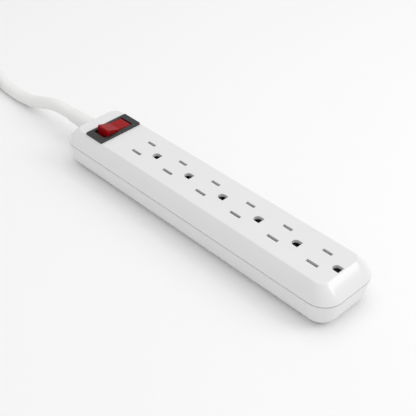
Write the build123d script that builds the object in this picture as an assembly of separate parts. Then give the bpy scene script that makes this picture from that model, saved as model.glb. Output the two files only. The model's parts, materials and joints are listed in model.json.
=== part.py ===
from build123d import *

import math
import os

# Six-outlet power strip with a lit rocker switch, wired inside, with its cord folded into a hank.
# Millimetres. +X runs from the switch end to the far end, +Y to the back, +Z up.
# A cut runs 1 mm past each face that it opens, and a rib starts SINK inside the wall it grows from.
# The origin is at the centre of the housing's underside, on the surface that it stands on.

# Housing: a tub with a drafted wall below the seam and a sloped crown above it.
LENGTH = 225.0
WIDTH = 46.0
HEIGHT = 27.0
SEAM_Z = 17.5
SEAM_CORNER_R = 12.75
TOP_LENGTH = 206.6
TOP_WIDTH = 32.8
TOP_CORNER_R = 5.5
CROWN_SWELL = 0.5
TOP_EDGE_R = 1.0
TUB_DRAFT = 2.2
TUB_EDGE_R = 8.5
WALL = 2.5
TOP_WALL = 2.2
FLOOR = 2.2
SEAM_GROOVE = 0.5
SEAM_GROOVE_DEPTH = 0.7
SINK = 0.5

# Outlets: two blade slots and a round-backed earth hole, on a constant pitch.
OUTLETS = 6
FIRST_OUTLET_X = -55.4
OUTLET_PITCH = 28.67
BLADE_SPACING = 12.7
EARTH_OFFSET = 11.9
SLOT_WIDTH = 2.0
NEUTRAL_SLOT_LENGTH = 8.0
LINE_SLOT_LENGTH = 6.6
EARTH_HOLE_WIDTH = 5.0
EARTH_HOLE_LENGTH = 5.3

# Housing screws and the keyholes in the underside.
SCREW_PLACES = [(x, y) for x in (-101.0, 0.0, 101.0) for y in (-13.5, 13.5)]
SCREW_R = 1.25
SCREW_HEAD_R = 2.8
SCREW_HEAD_Z = 6.0
SCREW_HEAD_THICK = 1.8
SCREW_CROSS_LENGTH = 3.6
SCREW_CROSS_WIDTH = 0.8
SCREW_POST_R = 3.0
SCREW_BOSS_R = 3.2
SCREW_BOSS_FOOT_R = 4.4
SCREW_BOSS_FOOT_Z = 7.5
KEYHOLE_PLACES = (-60.0, 60.0)
KEYHOLE_HEAD_R = 4.0
KEYHOLE_NECK_R = 2.1
KEYHOLE_TRAVEL = 7.0
KEYHOLE_DEPTH = 5.0
KEYHOLE_WALL = 1.4
KEYHOLE_ROOF = 1.3

# Contact carrier and the three stamped bars.
CARRIER_Z = 8.0
CARRIER_THICK = 1.2
CARRIER_HALF_WIDTH = 9.9
CARRIER_NEAR_END = 8.0
CARRIER_FAR_END = 17.5
GUARD_Y = 2.6
GUARD_HALF_LENGTH = 5.0
GUARD_HALF_THICK = 0.5
GUARD_HEIGHT = 7.0
RIB_THICK = 1.4
RIB_OFFSET = 20.0
BAR_THICK = 0.8
BAR_WIDTH = 6.0
BAR_OVERRUN = 6.0
LEAF_THICK = 0.6
LEAF_LENGTH = 7.0
LEAF_TOP_Z = 21.5
LEAF_FLARE = 30.0
LEAF_FLARE_LENGTH = 2.4
BLADE_GAP = 1.6
EARTH_BAR_Z = 6.6
EARTH_BAR_WIDTH = 5.0
EARTH_SLIT_HALF = 0.6
EARTH_SLEEVE_R = 2.9
EARTH_SLEEVE_TOP_Z = 19.0

# Rocker switch: the bezel stands on the top face, the box hangs below it.
SWITCH_X = -85.3
SWITCH_Y = -0.4
BEZEL_LENGTH = 15.5
BEZEL_WIDTH = 32.6
BEZEL_RISE = 1.4
BOX_LENGTH = 12.4
BOX_WIDTH = 27.6
BOX_BOTTOM_Z = 10.0
BOX_FLOOR = 1.2
BEZEL_CORNER_R = 0.8
BEZEL_EDGE_R = 0.4
SNAP_LUG_Z = 23.2
SNAP_LUG_LENGTH = 5.0
SNAP_LUG_RISE = 0.6
SNAP_LUG_HEIGHT = 2.4
WINDOW_HALF_X = 5.35
WINDOW_HALF_Y = 11.6
ROCKER_PIVOT_Z = 22.5
ROCKER_HALF_X = 5.0
ROCKER_HALF_Y = 9.8
ROCKER_END_RISE = 7.7
ROCKER_MID_RISE = 6.45
ROCKER_SKIRT_DROP = 2.0
ROCKER_TILT = 10.5
ROCKER_WALL = 1.1
ROCKER_SKIRT_HALF_Y = 3.2
ROCKER_END_DRAFT = 0.4
ROCKER_EDGE_R = 0.7
GUIDE_R = 2.2
GUIDE_LOW_Z = -3.4
TRUNNION_R = 1.2
TRUNNION_FIT = 0.05
PLUNGER_R = 1.3
PLUNGER_REACH = 7.15
PLUNGER_TOP_Z = -1.0
LAMP_Z = 3.7
LAMP_Y = -5.6
LAMP_R = 1.5
LAMP_LENGTH = 5.6
RESISTOR_Y = 5.2
RESISTOR_R = 1.0
RESISTOR_LENGTH = 4.4
LEVER_PIVOT_Z = 14.6
LEVER_HALF_Y = 7.6
LEVER_TILT = 8.0
LEVER_PIN_R = 0.6
LEVER_WIDTH = 4.0
LEVER_THICK = 0.8
CONTACT_R = 1.1
CONTACT_Y = 6.6
TAB_Y = CONTACT_Y + 1.6
TAB_BOTTOM_Z = 3.6
TAB_WIDTH = 4.8
TAB_HALF_THICK = 0.4

# Cord, from the housing's end to the hank, and from the hank to the plug.
CORD_R = 4.4
WIRE_R = 1.4
CORD_Z = SEAM_Z
RELIEF_TIP_X = -130.0
RELIEF_IN_X = -104.0
JACKET_IN_X = -98.0
RELIEF_R = 5.4
RELIEF_TIP_R = 4.75
RELIEF_HOLE_R = 5.8
CLAMP_X = -101.0
CLAMP_SCREW_Y = 7.6
CLAMP_HALF_LENGTH = 2.0
CLAMP_GAP = 0.4
CLAMP_CROWN_Y = 5.6
CLAMP_EAR_Y = 9.8
CLAMP_TOP_Z = 23.4
CORD_ROUTE = [
    (-130.0, 0.0, 17.5),
    (-141.0, 0.0, 17.5),
    (-152.5, 0.1, 15.7),
    (-165.0, -0.1, 11.6),
    (-178.0, -0.4, 7.1),
    (-191.0, -0.4, 4.8),
    (-206.0, -0.3, 4.4),
    (-221.0, 1.6, 4.5),
    (-236.0, 6.2, 4.7),
]
HANK_X = -257.0
HANK_STRAIGHT = 88.0
HANK_INNER_R = 27.4
HANK_PITCH = 2 * CORD_R + 0.12
HANK_OUTER_R = HANK_INNER_R + HANK_PITCH
HANK_MIDDLE_R = HANK_INNER_R + HANK_PITCH / 2
HANK_Y = 9.0 - HANK_OUTER_R
HANK_TURN_RISE = 8.97
TIE_X = HANK_X - 76.0
TIE_THICK = 0.5
TIE_WIDTH = 9.0
TAIL_Y = HANK_Y + HANK_MIDDLE_R
TAIL_ROUTE = [
    (HANK_X, TAIL_Y, 13.87),
    (HANK_X - 13.5, TAIL_Y, 13.87),
    (HANK_X - 38.5, TAIL_Y, 20.85),
    (HANK_X - 52.0, TAIL_Y, 20.85),
]
BEND_SHARE = 0.45

# Plug: a moulded three-pin plug lying on the hank, blades away from the housing.
PLUG_RELIEF_LENGTH = 24.0
PLUG_LENGTH = 30.0
PLUG_FACE_WIDTH = 27.0
PLUG_FACE_HEIGHT = 23.0
PLUG_NECK = 13.0
PLUG_FLARE = 18.0
PLUG_PINS_SHIFT = 4.0
PLUG_RELIEF_TIP_R = 4.9
PLUG_RELIEF_ROOT_R = 6.2
RIB_GROOVES = 4
RIB_GROOVE_START = 5.0
RIB_GROOVE_PITCH = 4.4
RIB_GROOVE_WIDTH = 1.6
RIB_GROOVE_R = 4.7
BLADE_THICK = 1.5
BLADE_LENGTH = 17.5
BLADE_WIDTH = 6.3
NEUTRAL_BLADE_WIDTH = 7.9
EARTH_PIN_R = 2.4
EARTH_PIN_LENGTH = 20.5

CEILING_Z = HEIGHT - TOP_WALL
BAR_Z = CARRIER_Z + CARRIER_THICK
OUTLET_XS = [FIRST_OUTLET_X + i * OUTLET_PITCH for i in range(OUTLETS)]
EARTH_XS = [x + EARTH_OFFSET for x in OUTLET_XS]
BLADE_Y = BLADE_SPACING / 2
PLUG_BACK_X = PLUG_RELIEF_LENGTH
PLUG_FACE_X = PLUG_BACK_X + PLUG_LENGTH
# The plug's parts are made along +X from the cord's end, then turned to point away from the housing.
PLUG_PLACE = Pos(*TAIL_ROUTE[-1]) * Rot(0, 0, 180)


def block(x, y, z):
    """Box between low and high values given as pairs."""
    size = [high - low for low, high in (x, y, z)]
    middle = [(high + low) / 2 for low, high in (x, y, z)]
    return Pos(*middle) * Box(*size)


def post(x, y, z, radius):
    """Upright cylinder between two heights."""
    low, high = z
    return Pos(x, y, (low + high) / 2) * Cylinder(radius, high - low)


def rod(x, y, z, radius):
    """Cylinder along X between two places."""
    low, high = x
    return Pos((low + high) / 2, y, z) * Rot(0, 90, 0) * Cylinder(radius, high - low)


def rounded(length, width, radius, z):
    """Rounded rectangle at a height, centred on the axes."""
    return Pos(0, 0, z) * RectangleRounded(length, width, radius)


def crown(inset, top_z, low_z=SEAM_Z):
    """The cover's sloped, gently swelled form above the seam, drawn in by inset."""
    sections = []
    for step in range(3):
        z = SEAM_Z + (top_z - SEAM_Z) * step / 2
        share = (z - SEAM_Z) / (HEIGHT - SEAM_Z)
        swell = 8 * CROWN_SWELL * share * (1 - share)
        length = LENGTH + (TOP_LENGTH - LENGTH) * share + swell - 2 * inset
        width = WIDTH + (TOP_WIDTH - WIDTH) * share + swell - 2 * inset
        corner = SEAM_CORNER_R + (TOP_CORNER_R - SEAM_CORNER_R) * share - inset
        sections.append(rounded(length, width, corner, z))
    form = loft(sections)
    if low_z < SEAM_Z:
        form += extrude(sections[0], amount=low_z - SEAM_Z)
    return form


def tub(inset, floor_z, edge_r):
    """The case's drafted form below the seam, rounded along its bottom edge."""
    share = 1 - floor_z / SEAM_Z
    draft = TUB_DRAFT * share
    top = rounded(LENGTH - 2 * inset, WIDTH - 2 * inset, SEAM_CORNER_R - inset, SEAM_Z)
    bottom = rounded(
        LENGTH - 2 * inset - 2 * draft,
        WIDTH - 2 * inset - 2 * draft,
        SEAM_CORNER_R - inset - draft,
        floor_z,
    )
    form = loft([bottom, top], ruled=True)
    return fillet(form.faces().sort_by(Axis.Z)[0].edges(), edge_r)


def earth_hole(x, length, width):
    """Earth hole's outline: flat towards +X, round towards -X."""
    round_part = Pos(x - length / 2 + width / 2, 0) * Circle(width / 2)
    flat_part = Pos(x + width / 4, 0) * Rectangle(length - width / 2, width)
    return round_part + flat_part


def outlet_cuts():
    """All slots and earth holes, through the top wall."""
    cuts = Part()
    for x, earth_x in zip(OUTLET_XS, EARTH_XS):
        openings = Pos(x, -BLADE_Y) * Rectangle(NEUTRAL_SLOT_LENGTH, SLOT_WIDTH)
        openings += Pos(x, BLADE_Y) * Rectangle(LINE_SLOT_LENGTH, SLOT_WIDTH)
        openings += earth_hole(earth_x, EARTH_HOLE_LENGTH, EARTH_HOLE_WIDTH)
        cuts += extrude(Pos(0, 0, CEILING_Z - 1) * openings, amount=TOP_WALL + 2)
    return cuts


def cord_hole():
    """Round hole through the end wall, half in the cover and half in the case."""
    return rod((-LENGTH / 2 - 1, RELIEF_IN_X + 2), 0, CORD_Z, RELIEF_HOLE_R)


def top_cover():
    """Sloped cover with its outlet holes, switch cut-out and screw posts."""
    outer = crown(0, HEIGHT)
    outer = fillet(outer.faces().sort_by(Axis.Z)[-1].edges(), TOP_EDGE_R)
    cover = outer - crown(WALL, CEILING_Z)
    for x, y in SCREW_PLACES:
        cover += post(x, y, (SEAM_Z, CEILING_Z + SINK), SCREW_POST_R)
        cover -= post(x, y, (SEAM_Z - 1, CEILING_Z - 1), SCREW_R + 0.05)
    cover -= outlet_cuts()
    cut_x, cut_y = BOX_LENGTH / 2 + 0.2, BOX_WIDTH / 2 + 0.2
    cover -= block(
        (SWITCH_X - cut_x, SWITCH_X + cut_x),
        (SWITCH_Y - cut_y, SWITCH_Y + cut_y),
        (CEILING_Z - 1, HEIGHT + 1),
    )
    return cover - cord_hole()


def keyhole(x):
    """Keyhole pocket that a screw head enters and slides along, towards -X."""
    pocket = post(x, 0, (-1, KEYHOLE_DEPTH), KEYHOLE_HEAD_R)
    head_way = block((x - KEYHOLE_TRAVEL, x), (-KEYHOLE_HEAD_R, KEYHOLE_HEAD_R), (FLOOR, KEYHOLE_DEPTH))
    head_end = post(x - KEYHOLE_TRAVEL, 0, (FLOOR, KEYHOLE_DEPTH), KEYHOLE_HEAD_R)
    neck = block((x - KEYHOLE_TRAVEL, x), (-KEYHOLE_NECK_R, KEYHOLE_NECK_R), (-1, FLOOR + 1))
    neck_end = post(x - KEYHOLE_TRAVEL, 0, (-1, FLOOR + 1), KEYHOLE_NECK_R)
    return pocket + head_way + head_end + neck + neck_end


def bottom_case():
    """Tub with screw bosses, carrier ribs, keyhole pockets and the cord's cradle."""
    case = tub(0, 0, TUB_EDGE_R) - tub(WALL, FLOOR, TUB_EDGE_R - WALL)
    rim = rounded(LENGTH + 2, WIDTH + 2, SEAM_CORNER_R + 1, SEAM_Z - SEAM_GROOVE)
    depth = SEAM_GROOVE_DEPTH
    rim -= rounded(LENGTH - 2 * depth, WIDTH - 2 * depth, SEAM_CORNER_R - depth, SEAM_Z - SEAM_GROOVE)
    case -= extrude(rim, amount=SEAM_GROOVE + 1)
    for x, y in SCREW_PLACES:
        boss = post(x, y, (FLOOR - SINK, SCREW_BOSS_FOOT_Z), SCREW_BOSS_FOOT_R)
        boss += post(x, y, (FLOOR - SINK, SEAM_Z), SCREW_BOSS_R)
        case += boss & tub(0.6, 0.6, TUB_EDGE_R - 0.6)
        case -= post(x, y, (-1, SCREW_HEAD_Z), SCREW_HEAD_R + 0.4)
        case -= post(x, y, (0, SEAM_Z + 1), SCREW_R + 0.3)
    for x in OUTLET_XS[:-1]:
        rib_x = x + RIB_OFFSET
        half, reach = RIB_THICK / 2, CARRIER_HALF_WIDTH
        case += block((rib_x - half, rib_x + half), (-reach, reach), (FLOOR - SINK, CARRIER_Z))
    case -= block((-48, 106), (-EARTH_BAR_WIDTH / 2 - 0.4, EARTH_BAR_WIDTH / 2 + 0.4), (EARTH_BAR_Z, 8.5))
    for x in KEYHOLE_PLACES:
        wall = KEYHOLE_HEAD_R + KEYHOLE_WALL
        low, high = x - KEYHOLE_TRAVEL - wall, x + wall
        case += block((low, high), (-wall, wall), (FLOOR - SINK, KEYHOLE_DEPTH + KEYHOLE_ROOF))
        case -= keyhole(x)
    cradle = block((-102.5, -99.5), (-6.0, 6.0), (FLOOR - SINK, CORD_Z))
    for y in (-CLAMP_SCREW_Y, CLAMP_SCREW_Y):
        cradle += post(CLAMP_X, y, (FLOOR - SINK, CORD_Z + CLAMP_GAP), 2.0)
    cradle -= rod((-104, -98), 0, CORD_Z, CORD_R + 0.05)
    for y in (-CLAMP_SCREW_Y, CLAMP_SCREW_Y):
        cradle -= post(CLAMP_X, y, (CORD_Z - 6, CORD_Z + 1), 1.0)
    case += cradle
    return case - cord_hole()


def case_screws():
    """Six self-tapping screws from below, as separate solids of one group."""
    screws = []
    for x, y in SCREW_PLACES:
        screw = post(x, y, (SCREW_HEAD_Z - SCREW_HEAD_THICK, SCREW_HEAD_Z), SCREW_HEAD_R)
        screw += post(x, y, (SCREW_HEAD_Z, CEILING_Z - 2), SCREW_R)
        for turn in (0, 90):
            cross = Box(SCREW_CROSS_LENGTH, SCREW_CROSS_WIDTH, SCREW_HEAD_THICK)
            screw -= Pos(x, y, SCREW_HEAD_Z - SCREW_HEAD_THICK) * Rot(0, 0, turn) * cross
        screws.append(screw)
    return Compound(children=screws)


def contact_carrier():
    """Insulating plate that holds the live bars above the earth bar."""
    plate = block(
        (OUTLET_XS[0] - CARRIER_NEAR_END, OUTLET_XS[-1] + CARRIER_FAR_END),
        (-CARRIER_HALF_WIDTH, CARRIER_HALF_WIDTH),
        (CARRIER_Z, BAR_Z),
    )
    for x in EARTH_XS:
        plate -= post(x, 0, (CARRIER_Z - 1, BAR_Z + 1), EARTH_SLEEVE_R + 0.4)
    plate -= block((-64, EARTH_XS[0] - 3.5), (-1.8, 1.8), (CARRIER_Z - 1, BAR_Z + 1))
    for y in (-GUARD_Y, GUARD_Y):
        for x in OUTLET_XS:
            plate += block(
                (x - GUARD_HALF_LENGTH, x + GUARD_HALF_LENGTH),
                (y - GUARD_HALF_THICK, y + GUARD_HALF_THICK),
                (BAR_Z, BAR_Z + GUARD_HEIGHT),
            )
    return plate


def live_bar(side):
    """Stamped bar with a pair of spring leaves for each blade, on one side of the middle."""
    y = side * BLADE_Y
    bar = block(
        (OUTLET_XS[0] - BAR_OVERRUN, OUTLET_XS[-1] + BAR_OVERRUN),
        (y - BAR_WIDTH / 2, y + BAR_WIDTH / 2),
        (BAR_Z, BAR_Z + BAR_THICK),
    )
    for x in OUTLET_XS:
        for way in (-1, 1):
            near = y + way * BLADE_GAP / 2
            far = near + way * LEAF_THICK
            low, high = min(near, far), max(near, far)
            bar += block((x - LEAF_LENGTH / 2, x + LEAF_LENGTH / 2), (low, high), (BAR_Z, LEAF_TOP_Z))
            flare = Box(LEAF_LENGTH, LEAF_THICK, LEAF_FLARE_LENGTH)
            bar += Pos(x, far, LEAF_TOP_Z) * Rot(-way * LEAF_FLARE, 0, 0) * flare
    return bar


def earth_bar():
    """Stamped bar under the carrier with a split sleeve for each earth pin."""
    bar = block(
        (EARTH_XS[0] - 4, EARTH_XS[-1] + 3),
        (-EARTH_BAR_WIDTH / 2, EARTH_BAR_WIDTH / 2),
        (EARTH_BAR_Z, EARTH_BAR_Z + BAR_THICK),
    )
    for x in EARTH_XS:
        sleeve = post(x, 0, (EARTH_BAR_Z, EARTH_SLEEVE_TOP_Z), EARTH_SLEEVE_R)
        sleeve -= post(x, 0, (EARTH_BAR_Z + BAR_THICK, EARTH_SLEEVE_TOP_Z + 1), EARTH_SLEEVE_R - LEAF_THICK)
        slit_z = (EARTH_BAR_Z + 3, EARTH_SLEEVE_TOP_Z + 1)
        sleeve -= block((x - 4, x + 4), (-EARTH_SLIT_HALF, EARTH_SLIT_HALF), slit_z)
        bar += sleeve
    return bar


def switch_housing():
    """Black bezel and box in one moulding, with bearing holes for the rocker."""
    half_x, half_y = BEZEL_LENGTH / 2, BEZEL_WIDTH / 2
    bezel = block((-half_x, half_x), (-half_y, half_y), (HEIGHT, HEIGHT + BEZEL_RISE))
    bezel = fillet(bezel.edges().filter_by(Axis.Z), BEZEL_CORNER_R)
    bezel = fillet(bezel.faces().sort_by(Axis.Z)[-1].edges(), BEZEL_EDGE_R)
    box = block(
        (-BOX_LENGTH / 2, BOX_LENGTH / 2),
        (-BOX_WIDTH / 2, BOX_WIDTH / 2),
        (BOX_BOTTOM_Z, HEIGHT + 0.2),
    )
    housing = bezel + box
    housing -= block(
        (-WINDOW_HALF_X, WINDOW_HALF_X),
        (-WINDOW_HALF_Y, WINDOW_HALF_Y),
        (BOX_BOTTOM_Z + BOX_FLOOR, HEIGHT + BEZEL_RISE + 1),
    )
    housing -= rod((-8, 8), 0, ROCKER_PIVOT_Z, TRUNNION_R + TRUNNION_FIT)
    for y in (-TAB_Y, 0.0, TAB_Y):
        half = TAB_WIDTH / 2 + 0.1
        housing -= block((-half, half), (y - 0.5, y + 0.5), (BOX_BOTTOM_Z - 1, BOX_BOTTOM_Z + BOX_FLOOR + 1))
    for side in (-1, 1):
        lug = Box(SNAP_LUG_LENGTH, SNAP_LUG_RISE, SNAP_LUG_HEIGHT)
        housing += Pos(0, side * (BOX_WIDTH / 2 + 0.25), SNAP_LUG_Z) * lug
    return Pos(SWITCH_X, SWITCH_Y, 0) * housing


def rocker_outline(inset):
    """Side outline of the rocker in its own frame, with the pivot at the origin."""
    end_y = ROCKER_HALF_Y - inset
    end_top = ROCKER_END_RISE - inset
    mid_top = ROCKER_MID_RISE - inset
    foot_y = end_y - ROCKER_END_DRAFT
    with BuildSketch(Plane.YZ) as outline:
        with BuildLine():
            Polyline(
                (-foot_y, 0.5),
                (-end_y, end_top),
                (0, mid_top),
                (end_y, end_top),
                (foot_y, 0.5),
                (ROCKER_SKIRT_HALF_Y, -ROCKER_SKIRT_DROP),
                (-ROCKER_SKIRT_HALF_Y, -ROCKER_SKIRT_DROP),
                close=True,
            )
        make_face()
    return outline.sketch


def place_rocker(shape):
    """Turns a shape from the rocker's own frame to rest, the -Y end up."""
    return Pos(SWITCH_X, SWITCH_Y, ROCKER_PIVOT_Z) * Rot(-ROCKER_TILT, 0, 0) * shape


def switch_rocker():
    """Hollow translucent rocker with trunnions and the plunger's guide tube."""
    body = extrude(rocker_outline(0), amount=ROCKER_HALF_X, both=True)
    ends = body.edges().filter_by(Axis.X).sort_by(Axis.Z)[-2:]
    body = fillet(ends, ROCKER_EDGE_R)
    hollow = extrude(rocker_outline(ROCKER_WALL), amount=ROCKER_HALF_X - ROCKER_WALL, both=True)
    hollow += Pos(0, 0, -ROCKER_SKIRT_DROP) * Box(2 * (ROCKER_HALF_X - ROCKER_WALL), 2 * 6.0, 4.0)
    rocker = body - hollow
    rocker += post(0, 0, (GUIDE_LOW_Z, ROCKER_MID_RISE - SINK), GUIDE_R)
    rocker -= post(0, 0, (GUIDE_LOW_Z - 1, ROCKER_MID_RISE - ROCKER_WALL), PLUNGER_R + 0.06)
    for way in (-1, 1):
        low, high = sorted((way * (ROCKER_HALF_X - 0.5), way * (BOX_LENGTH / 2 - 0.1)))
        rocker += rod((low, high), 0, 0, TRUNNION_R)
    return place_rocker(rocker)


def rocker_plunger():
    """Round-nosed plunger that the spring pushes against the contact lever."""
    shank = post(0, 0, (PLUNGER_R - PLUNGER_REACH, PLUNGER_TOP_Z), PLUNGER_R)
    nose = Pos(0, 0, PLUNGER_R - PLUNGER_REACH) * Sphere(PLUNGER_R)
    return place_rocker(shank + nose)


def plunger_spring():
    """Compression spring above the plunger, in the guide tube."""
    wire = 0.22
    coil_r = 0.95
    turns = 6
    height = ROCKER_MID_RISE - ROCKER_WALL - PLUNGER_TOP_Z - 2 * wire
    path = Helix(pitch=height / turns, height=height, radius=coil_r)
    profile = Plane(origin=path @ 0, z_dir=path % 0) * Circle(wire)
    return place_rocker(Pos(0, 0, PLUNGER_TOP_Z + wire) * sweep(profile, path=path, is_frenet=True))


def indicator_lamp():
    """Neon lamp in the rocker's raised half."""
    glass = Pos(0, LAMP_Y, LAMP_Z) * Rot(90, 0, 0) * Cylinder(LAMP_R, LAMP_LENGTH)
    return place_rocker(fillet(glass.edges(), 0.6))


def lamp_resistor():
    """Lamp's series resistor in the rocker's other half."""
    body = Pos(0, RESISTOR_Y, LAMP_Z) * Rot(90, 0, 0) * Cylinder(RESISTOR_R, RESISTOR_LENGTH)
    return place_rocker(fillet(body.edges(), 0.3))


def contact_lever():
    """Seesaw contact that the plunger tips; at rest its -Y contact is down."""
    lever = Box(LEVER_WIDTH, 2 * LEVER_HALF_Y, LEVER_THICK)
    lever += rod((-3.1, 3.1), 0, 0, LEVER_PIN_R)
    for y in (-CONTACT_Y, CONTACT_Y):
        lever += post(0, y, (-0.9, 0), CONTACT_R)
    return Pos(SWITCH_X, SWITCH_Y, LEVER_PIVOT_Z) * Rot(LEVER_TILT, 0, 0) * lever


def centre_terminal():
    """Middle terminal with two cheeks that carry the lever's pin."""
    floor_z = BOX_BOTTOM_Z + BOX_FLOOR
    half_tab = TAB_WIDTH / 2
    terminal = block((-half_tab, half_tab), (-TAB_HALF_THICK, TAB_HALF_THICK), (TAB_BOTTOM_Z, floor_z + 0.4))
    terminal += block((-3.2, 3.2), (-1.4, 1.4), (floor_z, floor_z + 0.8))
    for x in (-2.9, 2.9):
        terminal += block((x - 0.3, x + 0.3), (-1.4, 1.4), (floor_z, LEVER_PIVOT_Z + 1.4))
    terminal -= rod((-4, 4), 0, LEVER_PIVOT_Z, LEVER_PIN_R + TRUNNION_FIT)
    return Pos(SWITCH_X, SWITCH_Y, 0) * terminal


def end_terminal(side):
    """Terminal with a fixed contact under one end of the lever."""
    floor_z = BOX_BOTTOM_Z + BOX_FLOOR
    half_tab = TAB_WIDTH / 2
    tab_y = side * TAB_Y
    near, far = tab_y - TAB_HALF_THICK, tab_y + TAB_HALF_THICK
    terminal = block((-half_tab, half_tab), (near, far), (TAB_BOTTOM_Z, floor_z + 0.4))
    low, high = sorted((side * (CONTACT_Y - 1.8), side * (CONTACT_Y + 2.0)))
    terminal += block((-half_tab, half_tab), (low, high), (floor_z, floor_z + 0.6))
    terminal += post(0, side * CONTACT_Y, (floor_z, floor_z + 1.0), CONTACT_R)
    return Pos(SWITCH_X, SWITCH_Y, 0) * terminal


def spade_connectors():
    """Three push-on connectors on the switch's tabs."""
    connectors = []
    for y in (-TAB_Y, 0.0, TAB_Y):
        sleeve = Pos(SWITCH_X, SWITCH_Y + y, 6.6) * Box(TAB_WIDTH + 1.6, 2.2, 5.6)
        sleeve -= Pos(SWITCH_X, SWITCH_Y + y, 6.8) * Box(TAB_WIDTH + 0.1, 0.9, 6.6)
        connectors.append(sleeve)
    return Compound(children=connectors)


def bend_radii(points):
    """Largest tangent arc at each corner that takes a fixed share of the shorter run."""
    radii = []
    for before, corner, after in zip(points, points[1:], points[2:]):
        arriving = Vector(*corner) - Vector(*before)
        leaving = Vector(*after) - Vector(*corner)
        turn = math.radians(arriving.get_angle(leaving))
        shorter = min(arriving.length, leaving.length)
        radii.append(BEND_SHARE * shorter / math.tan(turn / 2))
    return radii


def tube(points, radius):
    """Round tube along straight runs joined by tangent arcs."""
    path = FilletPolyline(*points, radius=bend_radii(points))
    profile = Plane(origin=path @ 0, z_dir=path % 0) * Circle(radius)
    solid = sweep(profile, path=path)
    expected = math.pi * radius**2 * path.length
    print(f"tube length {path.length:.1f}, volume ratio {solid.volume / expected:.4f}")
    return solid


def wires():
    """Conductors inside the housing, each from the jacket or a tab to a tab or a bar."""
    feed_x = JACKET_IN_X + 3.6
    near_tab_x = SWITCH_X - TAB_WIDTH / 2 - 0.8
    far_tab_x = SWITCH_X + TAB_WIDTH / 2 + 0.8
    switched_y = SWITCH_Y - TAB_Y
    lamp_y = SWITCH_Y + TAB_Y
    bar_end_x = OUTLET_XS[0] - BAR_OVERRUN
    return {
        "line_feed_wire": [
            (JACKET_IN_X, 0, 15.6),
            (feed_x, 0, 15.6),
            (feed_x, SWITCH_Y, 6.2),
            (near_tab_x, SWITCH_Y, 6.2),
        ],
        "line_switched_wire": [
            (far_tab_x, switched_y, 6.4),
            (-77.0, switched_y, 6.4),
            (-69.0, -1.0, 11.0),
            (-66.0, 5.4, 11.6),
            (bar_end_x, BLADE_Y, 10.6),
        ],
        "neutral_wire": [
            (JACKET_IN_X, -1.9, 18.9),
            (feed_x, -1.9, 18.9),
            (-94.2, -12.6, 7.6),
            (-84.0, -12.8, 5.8),
            (-74.0, -12.2, 7.0),
            (-67.5, -8.2, 10.6),
            (bar_end_x, -8.2, 10.6),
        ],
        "earth_wire": [
            (JACKET_IN_X, 1.9, 18.9),
            (feed_x, 1.9, 18.9),
            (-94.2, 12.6, 7.6),
            (-84.0, 12.8, 5.0),
            (-74.0, 12.2, 5.4),
            (-68.0, 5.6, 8.2),
            (-65.4, 0.0, 7.9),
            (EARTH_XS[0] - 4, 0, 7.9),
        ],
        "lamp_wire": [
            (far_tab_x, lamp_y, 6.0),
            (-77.5, lamp_y, 6.0),
            (-75.4, 1.5, 4.0),
            (-75.6, -6.0, 4.0),
            (-71.5, -7.2, 4.8),
            (-66.0, -5.2, 10.6),
            (bar_end_x, -5.1, 10.6),
        ],
    }


def cord_clamp():
    """Saddle over the cord's jacket, inside the end of the housing."""
    along = (CLAMP_X - CLAMP_HALF_LENGTH, CLAMP_X + CLAMP_HALF_LENGTH)
    low = CORD_Z + CLAMP_GAP
    saddle = block(along, (-CLAMP_CROWN_Y, CLAMP_CROWN_Y), (low, CLAMP_TOP_Z))
    saddle += block(along, (-CLAMP_EAR_Y, CLAMP_EAR_Y), (low, CORD_Z + 2.0))
    saddle -= rod((-104, -98), 0, CORD_Z, CORD_R + 0.02)
    for y in (-CLAMP_SCREW_Y, CLAMP_SCREW_Y):
        saddle -= post(CLAMP_X, y, (CORD_Z - 1, CORD_Z + 3), 1.2)
    return saddle


def clamp_screws():
    """Two screws that hold the saddle down."""
    screws = []
    for y in (-CLAMP_SCREW_Y, CLAMP_SCREW_Y):
        screw = post(CLAMP_X, y, (CORD_Z - 5, CORD_Z + 2), 0.95)
        screw += post(CLAMP_X, y, (CORD_Z + 2.0, CORD_Z + 3.4), 1.9)
        screw -= Pos(CLAMP_X, y, CORD_Z + 3.4) * Box(3.0, 0.7, 1.2)
        screws.append(screw)
    return Compound(children=screws)


def cord_strain_relief():
    """Moulded sleeve through the end wall, tapering along the cord."""
    core = rod((-LENGTH / 2, RELIEF_IN_X), 0, CORD_Z, RELIEF_R)
    taper_length = -LENGTH / 2 - RELIEF_TIP_X
    taper = Cone(RELIEF_TIP_R, RELIEF_R, taper_length)
    return core + Pos(-LENGTH / 2 - taper_length / 2, 0, CORD_Z) * Rot(0, 90, 0) * taper


def power_cord_hank():
    """Outer shape of the hank: two long turns side by side, and half a turn on them at one end."""
    low, mid, high = TIE_THICK, TIE_THICK + 2 * CORD_R, TIE_THICK + 2 * CORD_R + HANK_TURN_RISE
    outer_r, inner_r = HANK_OUTER_R + CORD_R, HANK_INNER_R - CORD_R
    far_x = HANK_X - HANK_STRAIGHT
    turns = Plane.XY.offset(low) * Pos((HANK_X + far_x) / 2, HANK_Y) * (
        SlotCenterToCenter(HANK_STRAIGHT, 2 * outer_r) - SlotCenterToCenter(HANK_STRAIGHT, 2 * inner_r)
    )
    top_outer_r, top_inner_r = HANK_MIDDLE_R + CORD_R, HANK_MIDDLE_R - CORD_R
    top_turn = post(HANK_X, HANK_Y, (mid, high), top_outer_r)
    top_turn -= post(HANK_X, HANK_Y, (mid - 1, high + 1), top_inner_r)
    top_turn &= block((HANK_X, HANK_X + outer_r), (HANK_Y - outer_r, HANK_Y + outer_r), (mid, high))
    return extrude(turns, amount=mid - low) + top_turn


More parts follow.
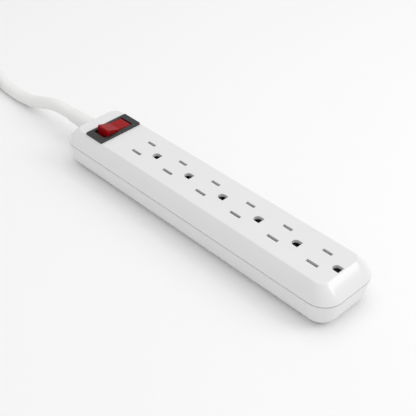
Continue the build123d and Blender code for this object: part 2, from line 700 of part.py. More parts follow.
def cord_tie():
    """Band round the hank's two strands, on the side away from the plug."""
    near_y, far_y = HANK_Y - HANK_OUTER_R - CORD_R, HANK_Y - HANK_INNER_R + CORD_R
    high = TIE_THICK + 2 * CORD_R
    half = TIE_WIDTH / 2
    across = (near_y - TIE_THICK, far_y + TIE_THICK)
    band = block((TIE_X - half, TIE_X + half), across, (0, high + TIE_THICK))
    return band - block((TIE_X - half - 1, TIE_X + half + 1), (near_y, far_y), (TIE_THICK, high))


def plug_strain_relief():
    """Ribbed sleeve behind the plug, tapering to the cord."""
    taper = Cone(PLUG_RELIEF_TIP_R, PLUG_RELIEF_ROOT_R, PLUG_RELIEF_LENGTH)
    sleeve = Pos(PLUG_RELIEF_LENGTH / 2, 0, 0) * Rot(0, 90, 0) * taper
    for step in range(RIB_GROOVES):
        low = RIB_GROOVE_START + step * RIB_GROOVE_PITCH
        high = low + RIB_GROOVE_WIDTH
        groove = rod((low, high), 0, 0, PLUG_RELIEF_ROOT_R + 1)
        groove -= rod((low - 1, high + 1), 0, 0, RIB_GROOVE_R)
        sleeve -= groove
    return PLUG_PLACE * sleeve


def plug_body():
    """Moulded body that widens from the cord to the face."""
    across = Plane(origin=(0, 0, 0), z_dir=(1, 0, 0), x_dir=(0, 1, 0))
    neck = across.offset(PLUG_BACK_X) * RectangleRounded(PLUG_NECK, PLUG_NECK, 4.5)
    waist = across.offset(PLUG_BACK_X + PLUG_FLARE) * RectangleRounded(PLUG_FACE_WIDTH, PLUG_FACE_HEIGHT, 6.5)
    body = loft([neck, waist], ruled=True)
    body += extrude(waist, amount=PLUG_LENGTH - PLUG_FLARE)
    return PLUG_PLACE * fillet(body.faces().sort_by(Axis.X)[-1].edges(), 1.2)


def plug_blade(y, z, width):
    """Flat blade with a round hole near its tip."""
    half, thick = width / 2, BLADE_THICK / 2
    blade = block((PLUG_FACE_X, PLUG_FACE_X + BLADE_LENGTH), (y - half, y + half), (z - thick, z + thick))
    blade = chamfer(blade.faces().sort_by(Axis.X)[-1].edges(), 0.4)
    return PLUG_PLACE * (blade - post(PLUG_FACE_X + BLADE_LENGTH - 4.2, y, (z - 2, z + 2), 1.6))


def plug_earth_pin():
    """Round earth pin with a domed tip."""
    pin_y = EARTH_OFFSET - PLUG_PINS_SHIFT
    length = EARTH_PIN_LENGTH - EARTH_PIN_R
    pin = rod((PLUG_FACE_X, PLUG_FACE_X + length), pin_y, 0, EARTH_PIN_R)
    return PLUG_PLACE * (pin + Pos(PLUG_FACE_X + length, pin_y, 0) * Sphere(EARTH_PIN_R))


nodes = {
    "top_cover": top_cover(),
    "bottom_case": bottom_case(),
    "case_screws": case_screws(),
    "contact_carrier": contact_carrier(),
    "line_bar": live_bar(1),
    "neutral_bar": live_bar(-1),
    "earth_bar": earth_bar(),
    "switch_housing": switch_housing(),
    "switch_rocker": switch_rocker(),
    "rocker_plunger": rocker_plunger(),
    "plunger_spring": plunger_spring(),
    "indicator_lamp": indicator_lamp(),
    "lamp_resistor": lamp_resistor(),
    "contact_lever": contact_lever(),
    "centre_terminal": centre_terminal(),
    "switched_terminal": end_terminal(-1),
    "lamp_terminal": end_terminal(1),
    "spade_connectors": spade_connectors(),
    "cord_clamp": cord_clamp(),
    "clamp_screws": clamp_screws(),
    "cord_strain_relief": cord_strain_relief(),
    "cord_jacket_end": rod((RELIEF_IN_X, JACKET_IN_X), 0, CORD_Z, CORD_R),
    "power_cord": tube(CORD_ROUTE, CORD_R) - power_cord_hank(),
    "power_cord_hank": power_cord_hank(),
    "power_cord_tail": tube(TAIL_ROUTE, CORD_R),
    "cord_tie": cord_tie(),
    "plug_strain_relief": plug_strain_relief(),
    "plug_body": plug_body(),
    "plug_line_blade": plug_blade(-PLUG_PINS_SHIFT, BLADE_Y, BLADE_WIDTH),
    "plug_neutral_blade": plug_blade(-PLUG_PINS_SHIFT, -BLADE_Y, NEUTRAL_BLADE_WIDTH),
    "plug_earth_pin": plug_earth_pin(),
}
for name, route in wires().items():
    nodes[name] = tube(route, WIRE_R)

for name, route in (("power_cord", CORD_ROUTE), ("power_cord_tail", TAIL_ROUTE)):
    print(name, "bend radii", [round(radius, 1) for radius in bend_radii(route)])

os.makedirs("parts", exist_ok=True)
for name, shape in nodes.items():
    export_step(shape, f"parts/{name}.step")
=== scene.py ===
import json
import logging
import math
from collections.abc import Callable
from dataclasses import dataclass
from enum import Enum

import bmesh
import bpy
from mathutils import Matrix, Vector

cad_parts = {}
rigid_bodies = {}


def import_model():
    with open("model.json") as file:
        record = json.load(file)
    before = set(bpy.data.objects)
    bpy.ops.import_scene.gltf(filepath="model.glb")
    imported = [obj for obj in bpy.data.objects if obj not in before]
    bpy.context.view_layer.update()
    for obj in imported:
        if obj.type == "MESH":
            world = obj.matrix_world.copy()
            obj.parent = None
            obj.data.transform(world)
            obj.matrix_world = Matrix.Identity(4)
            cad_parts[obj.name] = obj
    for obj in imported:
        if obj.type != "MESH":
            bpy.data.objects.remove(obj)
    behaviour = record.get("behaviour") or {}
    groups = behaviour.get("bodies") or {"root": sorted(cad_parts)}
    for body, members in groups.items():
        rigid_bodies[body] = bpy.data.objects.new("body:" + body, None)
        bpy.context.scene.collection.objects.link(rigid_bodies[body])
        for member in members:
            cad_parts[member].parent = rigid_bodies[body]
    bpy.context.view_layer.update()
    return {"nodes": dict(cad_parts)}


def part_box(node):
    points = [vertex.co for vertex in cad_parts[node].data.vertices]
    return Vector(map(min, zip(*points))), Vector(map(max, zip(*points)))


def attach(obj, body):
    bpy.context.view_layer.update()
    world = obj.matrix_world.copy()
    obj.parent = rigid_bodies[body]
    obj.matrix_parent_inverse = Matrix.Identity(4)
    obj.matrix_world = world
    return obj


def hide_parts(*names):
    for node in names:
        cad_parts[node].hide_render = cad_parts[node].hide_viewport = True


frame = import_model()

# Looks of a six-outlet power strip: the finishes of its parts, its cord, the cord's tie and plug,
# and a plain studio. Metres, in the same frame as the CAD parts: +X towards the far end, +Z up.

LOG = logging.getLogger("power_strip")
MM = 0.001


class Body(Enum):
    """Bodies that the pieces ride on."""

    HOUSING = "housing"


class Slot(Enum):
    """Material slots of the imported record."""

    CORD = "cord_vinyl"
    TIE = "tie_plastic"
    PLUG = "plug_vinyl"


# ---- colour and nodes


def linear(hex_colour: str) -> tuple[float, float, float, float]:
    """Turns an sRGB hex colour to linear RGBA.

    Args:
        hex_colour: six hex digits, such as "f2f2ef".

    Returns:
        The linear colour, opaque.
    """
    channels = [int(hex_colour[i : i + 2], 16) / 255 for i in (0, 2, 4)]
    values = [c / 12.92 if c <= 0.04045 else ((c + 0.055) / 1.055) ** 2.4 for c in channels]
    return (values[0], values[1], values[2], 1.0)


def fill(tree: bpy.types.NodeTree, node: bpy.types.Node, inputs: dict) -> None:
    """Links or sets a node's inputs.

    Args:
        tree: the node tree.
        node: the node to fill.
        inputs: output sockets or plain values, by input name or number.
    """
    for key, value in inputs.items():
        if isinstance(value, bpy.types.NodeSocket):
            tree.links.new(value, node.inputs[key])
        else:
            node.inputs[key].default_value = value


def add(tree: bpy.types.NodeTree, kind: str, inputs: dict, **settings: object) -> bpy.types.Node:
    """Adds a node with its settings and links.

    Args:
        tree: the node tree.
        kind: the node's type after "ShaderNode", such as "TexNoise".
        inputs: output sockets or plain values, by input name or number.
        **settings: the node's own properties.

    Returns:
        The new node.
    """
    node = tree.nodes.new("ShaderNode" + kind)
    for key, value in settings.items():
        setattr(node, key, value)
    fill(tree, node, inputs)
    return node


def new_material(name: str) -> tuple[bpy.types.Material, bpy.types.NodeTree, bpy.types.Node]:
    """Makes an empty material.

    Returns:
        The material, its node tree and its shader.
    """
    material = bpy.data.materials.new(name)
    material.use_nodes = True
    return material, material.node_tree, material.node_tree.nodes["Principled BSDF"]


def per_mm(size: float) -> float:
    """Noise scale whose features are about this many millimetres across."""
    return 1 / (size * MM)


def two_tone(tree: bpy.types.NodeTree, by: bpy.types.NodeSocket, first: str, second: str) -> bpy.types.NodeSocket:
    """Mixes two sRGB hex colours.

    Args:
        tree: the node tree.
        by: 0 gives the first colour and 1 the second.
        first: six hex digits.
        second: six hex digits.

    Returns:
        The mixed colour.
    """
    return add(tree, "Mix", {0: by, 6: linear(first), 7: linear(second)}, data_type="RGBA").outputs[2]


def varied(tree: bpy.types.NodeTree, by: bpy.types.NodeSocket, middle: float, share: float) -> bpy.types.NodeSocket:
    """Spreads a value evenly below and above its middle.

    Args:
        tree: the node tree.
        by: 0 gives the least value and 1 the greatest.
        middle: the value halfway.
        share: how far the ends lie from the middle, as a share of it.

    Returns:
        The varied value.
    """
    ends = {"Value": by, "To Min": middle * (1 - share), "To Max": middle * (1 + share)}
    return add(tree, "MapRange", ends).outputs["Result"]


# ---- finishes


@dataclass(frozen=True)
class MouldedPlastic:
    """Injection-moulded plastic: low sink waves in the gloss, a fine tool grain and soft edges."""

    name: str
    colour: str
    shade: str
    roughness: float
    grain_mm: float = 0.6
    grain_depth: float = 0.03
    wave_mm: float = 20.0
    edge_mm: float = 0.0
    coat: float = 0.0
    ior: float = 1.53
    gloss_share: float = 0.15
    relief_mm: float = 0.1
    coat_roughness: float = 0.06

    def make(self) -> bpy.types.Material:
        """Builds the material."""
        material, tree, shader = new_material(self.name)
        place = add(tree, "TexCoord", {}).outputs["Object"]
        wave = add(tree, "TexNoise", {"Vector": place, "Scale": per_mm(self.wave_mm), "Detail": 2.0})
        grain = add(tree, "TexNoise", {"Vector": place, "Scale": per_mm(self.grain_mm), "Detail": 3.0})
        relief = {"Height": grain.outputs["Fac"], "Strength": self.grain_depth, "Distance": self.relief_mm * MM}
        if self.edge_mm > 0:
            relief["Normal"] = add(tree, "Bevel", {"Radius": self.edge_mm * MM}, samples=6).outputs["Normal"]
        bump = add(tree, "Bump", relief)
        fill(
            tree,
            shader,
            {
                "Base Color": two_tone(tree, wave.outputs["Fac"], self.colour, self.shade),
                "Roughness": varied(tree, wave.outputs["Fac"], self.roughness, self.gloss_share),
                "Normal": bump.outputs["Normal"],
                "Coat Weight": self.coat,
                "Coat Roughness": self.coat_roughness,
                "IOR": self.ior,
            },
        )
        return material


@dataclass(frozen=True)
class DrawnMetal:
    """Stamped or drawn metal: rolling lines along X and patches of light tarnish."""

    name: str
    colour: str
    tarnish: str
    roughness: float
    line_mm: float = 0.2
    line_stretch: float = 20.0
    line_strength: float = 0.06
    line_depth_mm: float = 0.05
    patch_mm: float = 6.0
    gloss_share: float = 0.3

    def make(self) -> bpy.types.Material:
        """Builds the material."""
        material, tree, shader = new_material(self.name)
        place = add(tree, "TexCoord", {}).outputs["Object"]
        drawn = add(tree, "Mapping", {"Vector": place, "Scale": (1 / self.line_stretch, 1.0, 1.0)})
        lines = add(tree, "TexNoise", {"Vector": drawn.outputs[0], "Scale": per_mm(self.line_mm), "Detail": 2.0})
        patches = add(tree, "TexNoise", {"Vector": place, "Scale": per_mm(self.patch_mm), "Detail": 4.0})
        relief = {
            "Height": lines.outputs["Fac"],
            "Strength": self.line_strength,
            "Distance": self.line_depth_mm * MM,
        }
        bump = add(tree, "Bump", relief)
        fill(
            tree,
            shader,
            {
                "Base Color": two_tone(tree, patches.outputs["Fac"], self.colour, self.tarnish),
                "Roughness": varied(tree, lines.outputs["Fac"], self.roughness, self.gloss_share),
                "Normal": bump.outputs["Normal"],
                "Metallic": 1.0,
            },
        )
        return material


@dataclass(frozen=True)
class WovenStrap:
    """Woven nylon tape: crossed threads that break the highlight into small beads, with painted shade darkening the
    hollows between the threads.
    """

    name: str
    colour: str
    # shade is the painted shade colour of the hollows between the threads
    shade: str
    thread_mm: float = 0.7
    waver: float = 0.4
    relief: float = 0.5
    relief_mm: float = 0.2
    roughness: float = 0.75
    fuzz: float = 0.3

    def make(self) -> bpy.types.Material:
        """Builds the material."""
        material, tree, shader = new_material(self.name)
        place = add(tree, "TexCoord", {}).outputs["Object"]
        bands = []
        for direction in ("X", "Y", "Z"):
            scale = per_mm(self.thread_mm) / 2
            wave = {"Vector": place, "Scale": scale, "Distortion": self.waver, "Detail": 1.0}
            bands.append(add(tree, "TexWave", wave, bands_direction=direction).outputs["Fac"])
        crossed = add(tree, "Math", {0: bands[0], 1: bands[1]}, operation="MULTIPLY")
        threads = add(tree, "Math", {0: crossed.outputs[0], 1: bands[2]}, operation="ADD")
        height = {"Height": threads.outputs[0], "Strength": self.relief, "Distance": self.relief_mm * MM}
        bump = add(tree, "Bump", height)
        fill(
            tree,
            shader,
            {
                # painted shade: the colour goes to the shade tone where the weave height is low, in the hollows
                # between threads
                "Base Color": two_tone(tree, threads.outputs[0], self.shade, self.colour),
                "Roughness": self.roughness,
                "Normal": bump.outputs["Normal"],
                "Sheen Weight": self.fuzz,
            },
        )
        return material


@dataclass(frozen=True)
class BulbGlass:
    """Thin blown glass: clear, with a faint warm tint from the gas inside."""

    name: str
    colour: str
    ripple_mm: float = 1.5
    ripple_depth: float = 0.05
    roughness: float = 0.04
    clearness: float = 0.9
    ior: float = 1.5

    def make(self) -> bpy.types.Material:
        """Builds the material."""
        material, tree, shader = new_material(self.name)
        place = add(tree, "TexCoord", {}).outputs["Object"]
        ripple = add(tree, "TexNoise", {"Vector": place, "Scale": per_mm(self.ripple_mm), "Detail": 1.0})
        height = {"Height": ripple.outputs["Fac"], "Strength": self.ripple_depth, "Distance": 0.05 * MM}
        bump = add(tree, "Bump", height)
        fill(
            tree,
            shader,
            {
                "Base Color": linear(self.colour),
                "Roughness": self.roughness,
                "Normal": bump.outputs["Normal"],
                "Transmission Weight": self.clearness,
                "IOR": self.ior,
            },
        )
        return material


# Clean white housing: soft bright reflections along the slopes and a thin light line on each edge.
GLOSSY_ABS = MouldedPlastic("glossy_moulded_abs", "e4e4e4", "e0e0e0", 0.22, edge_mm=0.35, coat=0.35)
# Near-black switch frame: a dull sheen that sets off the rocker.
SATIN_NYLON = MouldedPlastic("satin_black_nylon", "1b1d1c", "141615", 0.38, grain_depth=0.08, edge_mm=0.25)
# Deep red rocker, its reflections held back so that the colour stays rich.
RED_POLYCARBONATE = MouldedPlastic(
    "red_polycarbonate", "9c0c14", "860a10", 0.3, wave_mm=6.0, edge_mm=0.3, ior=1.22
)
# Milky white plunger under the rocker.
WHITE_ACETAL = MouldedPlastic("white_acetal", "e2e0d8", "dcd9d0", 0.4)
# Cream insulating plate and clamp, dull and a little grainy.
CREAM_NYLON = MouldedPlastic("cream_nylon", "dcd8cc", "d4d0c4", 0.5, grain_depth=0.06)
# Tan coating of the resistor, slightly uneven.
ENAMEL = MouldedPlastic("resistor_enamel", "c9a96b", "b8975c", 0.45, wave_mm=1.5)
# White cord: a broad soft highlight along its length and a faint grain.
CORD_PVC = MouldedPlastic(
    "white_pvc_jacket", "efefee", "e9e9e8", 0.42, grain_mm=0.8, grain_depth=0.1, wave_mm=9.0
)
# Moulded plug and strain reliefs: as the cord, with softened edges.
PLUG_PVC = MouldedPlastic("white_moulded_pvc", "ebebea", "e4e4e3", 0.4, grain_depth=0.08, edge_mm=0.3)
# Insulation of the inner wires: black live, white neutral and green earth.
BLACK_PVC = MouldedPlastic("black_pvc", "161616", "1d1d1d", 0.45, wave_mm=4.0)
WHITE_PVC = MouldedPlastic("white_wire_pvc", "dedcd6", "d5d3cc", 0.45, wave_mm=4.0)
GREEN_PVC = MouldedPlastic("green_pvc", "1d7a3c", "176632", 0.45, wave_mm=4.0)
# Yellow contact metal that glints in the outlet holes.
STAMPED_BRASS = DrawnMetal("stamped_brass", "d8b56a", "b08a48", 0.3)
# Grey screws with a soft, cloudy shine.
ZINC_STEEL = DrawnMetal("zinc_plated_steel", "c6c8cb", "a9abae", 0.35)
# Spring wire with fine drawn lines.
SPRING_STEEL = DrawnMetal("drawn_spring_steel", "bdbfc2", "9a9c9f", 0.3)
# Blades and pin of the plug: bright and faintly warm.
NICKEL_BRASS = DrawnMetal("nickel_plated_brass", "cfcac0", "b9b3a6", 0.22)
# Black tie: a matt woven band against the white cord, the hollows of its weave darkened with painted shade.
TIE_NYLON = WovenStrap("woven_black_nylon", "2a2a2a", "0e0e0e")
# Clear lamp with a faint warm tint.
NEON_GLASS = BulbGlass("neon_bulb_glass", "f4d8c6")

# Each finish and the CAD parts that wear it.
DRESS = (
    (GLOSSY_ABS, ("top_cover", "bottom_case")),
    (SATIN_NYLON, ("switch_housing",)),
    (RED_POLYCARBONATE, ("switch_rocker",)),
    (WHITE_ACETAL, ("rocker_plunger",)),
    (CREAM_NYLON, ("contact_carrier", "cord_clamp")),
    (ENAMEL, ("lamp_resistor",)),
    (PLUG_PVC, ("cord_strain_relief", "plug_strain_relief", "plug_body")),
    (CORD_PVC, ("cord_jacket_end", "power_cord", "power_cord_hank", "power_cord_tail")),
    (BLACK_PVC, ("line_feed_wire", "line_switched_wire")),
    (WHITE_PVC, ("neutral_wire", "lamp_wire")),
    (GREEN_PVC, ("earth_wire",)),
    (
        STAMPED_BRASS,
        (
            "line_bar",
            "neutral_bar",
            "earth_bar",
            "contact_lever",
            "centre_terminal",
            "switched_terminal",
            "lamp_terminal",
            "spade_connectors",
        ),
    ),
    (ZINC_STEEL, ("case_screws", "clamp_screws")),
    (SPRING_STEEL, ("plunger_spring",)),
    (NICKEL_BRASS, ("plug_line_blade", "plug_neutral_blade", "plug_earth_pin")),
    (TIE_NYLON, ("cord_tie",)),
    (NEON_GLASS, ("indicator_lamp",)),
)


def wear(piece: bpy.types.Object, material: bpy.types.Material) -> None:
    """Puts a material in all of an object's material slots."""
    if not piece.material_slots:
        piece.data.materials.append(material)
    for slot in piece.material_slots:
        slot.material = material


def dress_cad_parts() -> dict[str, bpy.types.Material]:
    """Gives every CAD part its finish.

    Returns:
        The materials by name.
    """
    made = {}
    for finish, nodes in DRESS:
        made[finish.name] = finish.make()
        for node in nodes:
            wear(frame["nodes"][node], made[finish.name])
        LOG.info("finish %s on %d parts", finish.name, len(nodes))
    return made


# ---- modelling


def deselect() -> None:
    """Leaves nothing selected, in object mode."""
    if bpy.context.object and bpy.context.object.mode != "OBJECT":
        bpy.ops.object.mode_set(mode="OBJECT")
    bpy.ops.object.select_all(action="DESELECT")


def take_new(name: str) -> bpy.types.Object:
    """Names the object just added, and moves its place into its mesh.

    Returns:
        The named object.
    """
    piece = bpy.context.object
    piece.name = name
    piece.data.name = name
    bpy.ops.object.transform_apply(location=True, rotation=True, scale=True)
    return piece


def select_faces(piece: bpy.types.Object, test: Callable[[Vector, Vector], bool]) -> None:
    """Selects just the faces that pass a test, in edit mode.

    Args:
        piece: the object in edit mode.
        test: takes a face's centre and normal.
    """
    bpy.ops.mesh.select_mode(type="FACE")
    bpy.ops.mesh.select_all(action="DESELECT")
    mesh = bmesh.from_edit_mesh(piece.data)
    for face in [face for face in mesh.faces if test(face.calc_center_median(), face.normal)]:
        face.select_set(True)
    bmesh.update_edit_mesh(piece.data)


def select_edges(piece: bpy.types.Object, test: Callable[[Vector, Vector], bool]) -> None:
    """Selects just the edges that pass a test, in edit mode.

    Args:
        piece: the object in edit mode.
        test: takes an edge's two ends.
    """
    bpy.ops.mesh.select_mode(type="EDGE")
    bpy.ops.mesh.select_all(action="DESELECT")
    mesh = bmesh.from_edit_mesh(piece.data)
    for edge in [edge for edge in mesh.edges if test(edge.verts[0].co, edge.verts[1].co)]:
        edge.select_set(True)
    bmesh.update_edit_mesh(piece.data)


def modify(piece: bpy.types.Object, kind: str, **settings: object) -> None:
    """Adds a modifier, sets it and applies it."""
    modifier = piece.modifiers.new(kind.title(), kind)
    for key, value in settings.items():
        setattr(modifier, key, value)
    bpy.context.view_layer.objects.active = piece
    bpy.ops.object.modifier_apply(modifier=modifier.name)


def smooth_by_angle(piece: bpy.types.Object, degrees: float) -> None:
    """Shades a piece smooth, but for the edges sharper than an angle."""
    deselect()
    piece.select_set(True)
    bpy.context.view_layer.objects.active = piece
    bpy.ops.object.shade_smooth_by_angle(angle=math.radians(degrees))


def finish_piece(piece: bpy.types.Object, body: Body, slot: Slot, material: bpy.types.Material, *nodes: str) -> None:
    """Dresses a piece, puts it on its body and lets it stand for its CAD parts."""
    wear(piece, material)
    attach(piece, body.value)
    if nodes:
        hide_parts(*nodes)
    LOG.info("piece %s stands for %s", piece.name, ", ".join(nodes) or "itself")


def ease(start: float, span: float, at: float) -> float:
    """Smooth step from 0 at start to 1 at start + span."""
    share = min(1.0, max(0.0, (at - start) / span))
    return share * share * (3 - 2 * share)


@dataclass
class PowerCord:
    """The cord from the housing's end to the plug, folded into a hank, and the hank's tie."""

    radius: float = 4.4 * MM
    length: float = 0.915
    hank_x: float = -257 * MM
    straight: float = 88 * MM
    inner_turn: float = 27.4 * MM
    top_y: float = 9.0 * MM
    floor_z: float = 4.9 * MM
    strand_gap: float = 0.12 * MM
    loops: int = 2
    steps_per_loop: int = 36
    shift_start: float = 236 * MM
    shift_run: float = 92 * MM
    climb_start: float = 566 * MM
    climb_run: float = 78 * MM
    climb_gap: float = 0.05 * MM
    nest_start: float = 650 * MM
    nest_run: float = 80 * MM
    tail_bends: tuple = (13.5 * MM, 38.5 * MM, 52 * MM)
    plug_z: float = 20.85 * MM
    tie_x: float = -333 * MM
    tie_width: float = 9.0 * MM
    tie_thick: float = 0.45 * MM
    tie_slack: float = 0.02 * MM
    tie_edge: float = 0.12 * MM
    route: tuple = (
        (-130.0, 0.0, 17.5),
        (-141.0, 0.0, 17.5),
        (-152.5, 0.1, 15.7),
        (-165.0, -0.1, 11.6),
        (-178.0, -0.4, 7.1),
        (-191.0, -0.4, 4.8),
        (-206.0, -0.3, 4.4),
        (-221.0, 1.6, 4.5),
        (-236.0, 6.2, 4.7),
    )

    @property
    def pitch(self) -> float:
        """Distance between strands that lie side by side."""
        return 2 * self.radius + self.strand_gap

    @property
    def middle_turn(self) -> float:
        """Radius of the end turns halfway between the inner and outer strands."""
        return self.inner_turn + self.pitch / 2

    @property
    def centre_y(self) -> float:
        """The hank's long axis."""
        return self.top_y - self.inner_turn - self.pitch

    @property
    def loop(self) -> float:
        """Length once round the hank."""
        return 2 * (self.straight + self.half_turn)

    @property
    def upper_z(self) -> float:
        """Height of the cord where it lies on the two loops."""
        return self.floor_z + self.pitch + self.climb_gap

    @property
    def half_turn(self) -> float:
        """Length once round an end of the hank."""
        return math.pi * self.middle_turn

    def strand_section(self, run: float) -> tuple[float, float]:
        """Where the cord is in the hank's cross-section.

        The second loop lies inside the first, and its end climbs into the groove between the two.

        Args:
            run: length wound since the hank began.

        Returns:
            Distance from the hank's long axis, and height.
        """
        inward = ease(self.shift_start, self.shift_run, run) - ease(self.nest_start, self.nest_run, run) / 2
        out = self.inner_turn + self.pitch * (1 - inward)
        lift = ease(self.climb_start, self.climb_run, run)
        return out, self.floor_z + (self.upper_z - self.floor_z) * lift

    def hank_point(self, run: float) -> Vector:
        """Point of the hank after winding this length."""
        out, height = self.strand_section(run)
        at = run % self.loop
        side = 1 if at < self.loop / 2 else -1
        at -= 0 if side > 0 else self.loop / 2
        fold = max(0.0, at - self.straight) / self.middle_turn
        start = self.hank_x if side > 0 else self.hank_x - self.straight
        x = start - side * (min(at, self.straight) + out * math.sin(fold))
        return Vector((x, self.centre_y + side * out * math.cos(fold), height))

    def line(self) -> list[Vector]:
        """The cord's control points from the housing to the plug."""
        count = self.loops * self.steps_per_loop
        strands = [self.hank_point(index * self.loop / self.steps_per_loop) for index in range(count)]
        middle_y = self.centre_y + self.middle_turn
        level, rise, end = self.tail_bends
        ends = ((0, self.upper_z), (level, self.upper_z), (rise, self.plug_z), (end, self.plug_z))
        tail = [Vector((self.hank_x - back, middle_y, height)) for back, height in ends]
        return [Vector(p) * MM for p in self.route] + strands + tail

    def build_cord(self, material: bpy.types.Material) -> bpy.types.Object:
        """Makes the cord as one round spline.

        Returns:
            The cord.
        """
        curve = bpy.data.curves.new("power_cord_line", "CURVE")
        curve.dimensions = "3D"
        curve.bevel_depth = self.radius
        curve.bevel_resolution = 6
        curve.resolution_u = 8
        curve.use_fill_caps = True
        spline = curve.splines.new("NURBS")
        points = self.line()
        spline.points.add(len(points) - 1)
        for spot, point in zip(spline.points, points):
            spot.co = (*point, 1.0)
        spline.order_u = 3
        spline.use_endpoint_u = True
        cord = bpy.data.objects.new("flexible_cord", curve)
        bpy.context.scene.collection.objects.link(cord)
        stands_for = ("power_cord", "power_cord_hank", "power_cord_tail")
        finish_piece(cord, Body.HOUSING, Slot.CORD, material, *stands_for)
        return cord

    def build_tie(self, material: bpy.types.Material) -> bpy.types.Object:
        """Wraps a strap tightly round the hank's two strands, on its side away from the plug.

        Returns:
            The strap.
        """
        deselect()
        along = self.loop / 2 + self.tie_x - (self.hank_x - self.straight)
        for strand in range(self.loops):
            bpy.ops.mesh.primitive_cylinder_add(
                vertices=48,
                radius=self.radius + self.tie_slack,
                depth=self.tie_width,
                location=self.hank_point(along + strand * self.loop),
                rotation=(0, math.pi / 2, 0),
            )
            bpy.context.object.name = f"strand_{strand}"
        for strand in range(self.loops):
            bpy.data.objects[f"strand_{strand}"].select_set(True)
        bpy.ops.object.join()
        tie = take_new("hank_tie_strap")
        bpy.ops.object.mode_set(mode="EDIT")
        bpy.ops.mesh.select_all(action="SELECT")
        bpy.ops.mesh.convex_hull()
        select_faces(tie, lambda centre, normal: abs(normal.x) > 0.9)
        bpy.ops.mesh.delete(type="FACE")
        bpy.ops.mesh.select_all(action="SELECT")
        bpy.ops.mesh.normals_make_consistent(inside=False)
        bpy.ops.object.mode_set(mode="OBJECT")
        modify(tie, "SOLIDIFY", thickness=self.tie_thick, offset=1.0)
        modify(tie, "BEVEL", width=self.tie_edge, segments=2, limit_method="ANGLE")
        smooth_by_angle(tie, 35)
        finish_piece(tie, Body.HOUSING, Slot.TIE, material, "cord_tie")
        return tie


@dataclass
class Plug:
    """Moulded three-pin plug: a neck that swells to a waisted grip with grooves, and a flanged face."""

    steps: int = 20
    corner: float = 4.4 * MM
    groove_depth: float = 0.7 * MM
    groove_edge: float = 0.2 * MM
    grooves: tuple = (11, 13, 15)
    rim: float = 0.9 * MM
    neck_share: float = 0.5
    swell_end: float = 0.62
    waist_start: float = 0.5
    waist_run: float = 0.4
    waist_depth: float = 0.07

    def girth(self, share: float) -> float:
        """Width at a place along the plug, as a share of the face's.

        Args:
            share: 0 at the neck and 1 at the face.

        Returns:
            The share of the face's width.
        """
        swell = self.neck_share + (1 - self.neck_share) * ease(0.0, self.swell_end, share)
        along_waist = min(1.0, max(0.0, (share - self.waist_start) / self.waist_run))
        return swell - self.waist_depth * math.sin(math.pi * along_waist)

    def build(self, material: bpy.types.Material) -> bpy.types.Object:
        """Models the body from its neck to its face.

        Returns:
            The plug's body.
        """
        low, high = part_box("plug_body")
        middle = (low + high) / 2
        size = high - low
        step = size.x / self.steps
        start = self.girth(0.0)
        deselect()
        bpy.ops.mesh.primitive_cube_add(
            size=1,
            location=(high.x - step / 2, middle.y, middle.z),
            scale=(step, size.y * start, size.z * start),
        )
        body = take_new("plug_grip_body")
        bpy.ops.object.mode_set(mode="EDIT")
        select_edges(body, lambda a, b: abs(a.x - b.x) > step / 2)
        bpy.ops.mesh.bevel(offset=self.corner, segments=5, affect="EDGES")
        for index in range(1, self.steps):
            front = high.x - index * step
            select_faces(body, lambda centre, normal: normal.x < -0.9 and centre.x < front + step / 4)
            bpy.ops.mesh.extrude_region_move(TRANSFORM_OT_translate={"value": (-step, 0, 0)})
            grow = self.girth((index + 1) / self.steps) / self.girth(index / self.steps)
            bpy.ops.transform.resize(value=(1, grow, grow), center_override=(front - step, middle.y, middle.z))
        for index in self.grooves:
            near, far = high.x - (index + 1) * step, high.x - index * step
            select_faces(body, lambda centre, normal: near < centre.x < far and abs(normal.y) > 0.9)
            bpy.ops.mesh.inset(thickness=self.groove_edge, depth=-self.groove_depth, use_individual=True)
        select_edges(body, lambda a, b: max(a.x, b.x) < low.x + step / 4)
        bpy.ops.mesh.bevel(offset=self.rim, segments=3, affect="EDGES")
        bpy.ops.object.mode_set(mode="OBJECT")
        smooth_by_angle(body, 40)
        finish_piece(body, Body.HOUSING, Slot.PLUG, material, "plug_body")
        return body


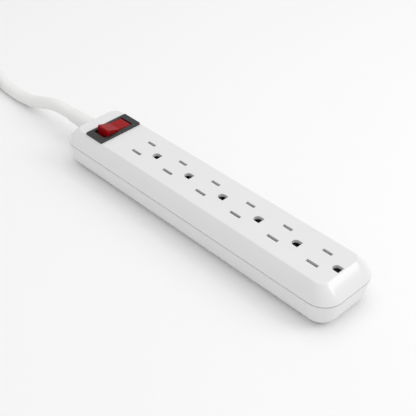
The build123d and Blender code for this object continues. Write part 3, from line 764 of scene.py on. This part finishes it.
@dataclass
class Studio:
    """Plain pale floor, soft lights from above and behind, and the camera."""

    azimuth: float = 45.74
    elevation: float = 38.74
    distance: float = 0.524
    lens: float = 75.76
    target: tuple = (3.6 * MM, -1.6 * MM, 13.5 * MM)
    floor_size: float = 8.0
    world_strength: float = 0.73
    above: tuple = (0.0, 0.1, 1.1)
    above_width: float = 1.0
    above_watts: float = 3.0
    behind: tuple = (0.75, 0.55, 0.75)
    behind_width: float = 0.6
    behind_watts: float = 3.2

    def place_camera(self) -> None:
        """Makes the camera and aims it at the housing."""
        turn, rise = math.radians(self.azimuth), math.radians(self.elevation)
        back = Vector((math.sin(turn) * math.cos(rise), -math.cos(turn) * math.cos(rise), math.sin(rise)))
        camera = bpy.data.objects.new("camera", bpy.data.cameras.new("camera"))
        camera.data.lens = self.lens
        camera.data.sensor_width = 36.0
        camera.data.clip_start = 0.01
        camera.location = Vector(self.target) + back * self.distance
        camera.rotation_euler = (-back).to_track_quat("-Z", "Y").to_euler()
        bpy.context.scene.collection.objects.link(camera)
        bpy.context.scene.camera = camera

    def lay_floor(self) -> None:
        """Lays a wide matt floor."""
        deselect()
        bpy.ops.mesh.primitive_plane_add(size=self.floor_size, location=(0, 0, 0))
        floor = take_new("floor")
        card = MouldedPlastic("matt_white_card", "f4f4f4", "f2f2f2", 0.9, grain_mm=1.5, wave_mm=200.0)
        wear(floor, card.make())

    def add_light(self, name: str, place: Vector, width: float, watts: float) -> None:
        """Adds a square soft light that faces the housing."""
        lamp = bpy.data.lights.new(name, "AREA")
        lamp.size = width
        lamp.energy = watts
        light = bpy.data.objects.new(name, lamp)
        light.location = place
        light.rotation_euler = (-place).to_track_quat("-Z", "Y").to_euler()
        bpy.context.scene.collection.objects.link(light)

    def light(self) -> None:
        """Sets the pale surroundings and the lights."""
        world = bpy.data.worlds.new("studio")
        world.use_nodes = True
        background = world.node_tree.nodes["Background"]
        background.inputs["Color"].default_value = linear("ffffff")
        background.inputs["Strength"].default_value = self.world_strength
        bpy.context.scene.world = world
        self.add_light("softbox_above", Vector(self.above), self.above_width, self.above_watts)
        self.add_light("softbox_behind", Vector(self.behind), self.behind_width, self.behind_watts)
        bpy.context.scene.view_settings.view_transform = "Standard"


def main() -> None:
    """Builds the camera and cord first, then the rest."""
    logging.basicConfig(level=logging.INFO, format="%(name)s %(message)s")
    studio = Studio()
    studio.place_camera()
    finishes = dress_cad_parts()
    cord = PowerCord()
    line = cord.build_cord(finishes[CORD_PVC.name])
    tie = cord.build_tie(finishes[TIE_NYLON.name])
    plug = Plug().build(finishes[PLUG_PVC.name])
    cord.line()[0]
    studio.lay_floor()
    studio.light()


if __name__ == "__main__":
    main()
